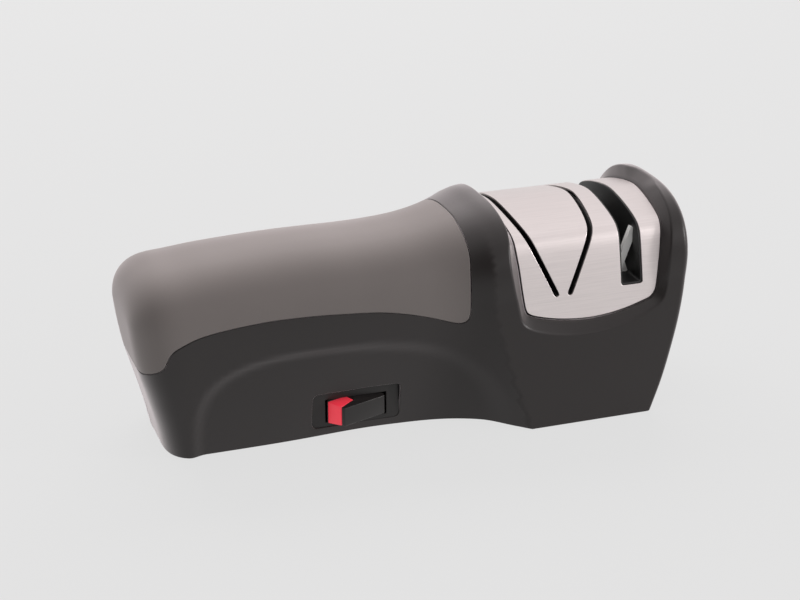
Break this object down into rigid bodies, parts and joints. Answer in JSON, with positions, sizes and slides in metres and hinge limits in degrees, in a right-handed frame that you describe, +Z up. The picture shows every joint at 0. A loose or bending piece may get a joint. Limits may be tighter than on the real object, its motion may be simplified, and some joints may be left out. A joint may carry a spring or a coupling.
{
  "type": "electric knife sharpener",
  "caption": "Free-standing electric knife sharpener: long grey grip over a black body, angled powered slots and a straight manual slot in a steel cover, rocker switch low on the side.",
  "frame": {"origin": "on the surface that the feet stand on, under the middle of the bounding box", "axes": "+X towards the sharpening head, -Y towards the side with the switch, +Z up"},
  "size_m": [0.2145, 0.087, 0.0824],
  "materials": {
    "black_shell": "satin moulded plastic, near black",
    "grip_grey": "soft-touch moulded plastic, warm mid grey",
    "base_black": "matt moulded plastic",
    "foot_rubber": "matt rubber",
    "screw_steel": "zinc-plated steel",
    "brushed_steel": "stainless sheet brushed along its length",
    "guide_black": "black moulded plastic",
    "white_ceramic": "fine matt ceramic",
    "frame_steel": "bent steel sheet",
    "bush_brass": "sintered bronze",
    "shaft_steel": "ground steel",
    "gear_plastic": "moulded acetal",
    "abrasive_disc": "fine diamond-coated steel",
    "motor_steel": "drawn steel can",
    "contact_brass": "bare brass",
    "switch_black": "satin moulded plastic",
    "switch_red": "red translucent plastic",
    "lead_red": "insulated wire",
    "lead_blue": "insulated wire"
  },
  "bodies": {
    "main": {"housing": "black_shell", "grip_cover": "grip_grey", "base_plate": "base_black", "rubber_feet": "foot_rubber", "base_screws": "screw_steel", "head_cover": "brushed_steel", "powered_slot_guide": "guide_black", "manual_slot_guide": "guide_black", "stone_holder": "guide_black", "left_leaning_stones": "white_ceramic", "right_leaning_stones": "white_ceramic", "gear_frame": "frame_steel", "shaft_bushes": "bush_brass", "frame_screws": "screw_steel", "motor_can": "motor_steel", "motor_end_cap": "guide_black", "motor_terminals": "contact_brass", "motor_screws": "screw_steel", "switch_bezel": "switch_black", "switch_body": "guide_black", "switch_terminals": "contact_brass", "power_jack": "guide_black", "jack_pin": "contact_brass", "supply_lead": "lead_red", "motor_leads": "lead_blue"},
    "rocker": {"rocker": "switch_black", "rocker_inlay": "switch_red"},
    "wheel_set": {"wheel_shaft": "shaft_steel", "shaft_gear": "gear_plastic", "retaining_clips": "screw_steel", "left_disc_spring": "screw_steel", "right_disc_spring": "screw_steel"},
    "left_wheel": {"left_disc": "abrasive_disc"},
    "right_wheel": {"right_disc": "abrasive_disc"},
    "motor_rotor": {"motor_shaft": "shaft_steel", "motor_pinion": "bush_brass"}
  },
  "joints": [
    {"name": "rocker_tilt", "type": "hinge", "parent": "main", "child": "rocker", "pos_m": [-0.0236, -0.0198, 0.0102], "axis": [0, 0, 1], "range_deg": [-38, 0]},
    {"name": "wheel_spin", "type": "hinge", "parent": "main", "child": "wheel_set", "pos_m": [0.0558, 0, 0.0363], "axis": [1, 0, 0], "continuous": true},
    {"name": "motor_spin", "type": "hinge", "parent": "main", "child": "motor_rotor", "pos_m": [0.04, 0, 0.0219], "axis": [1, 0, 0], "continuous": true},
    {"name": "left_disc_slide", "type": "slide", "parent": "wheel_set", "child": "left_wheel", "axis": [1, 0, 0], "range_m": [0, 0.0006], "stiffness_N_per_m": 3000, "springref_m": -0.0003, "deforming": ["left_disc_spring"]},
    {"name": "right_disc_slide", "type": "slide", "parent": "wheel_set", "child": "right_wheel", "axis": [-1, 0, 0], "range_m": [0, 0.0006], "stiffness_N_per_m": 3000, "springref_m": -0.0003, "deforming": ["right_disc_spring"]}
  ],
  "couplings": [
    {"joint": "motor_spin", "follows": "wheel_spin", "ratio": -2}
  ]
}
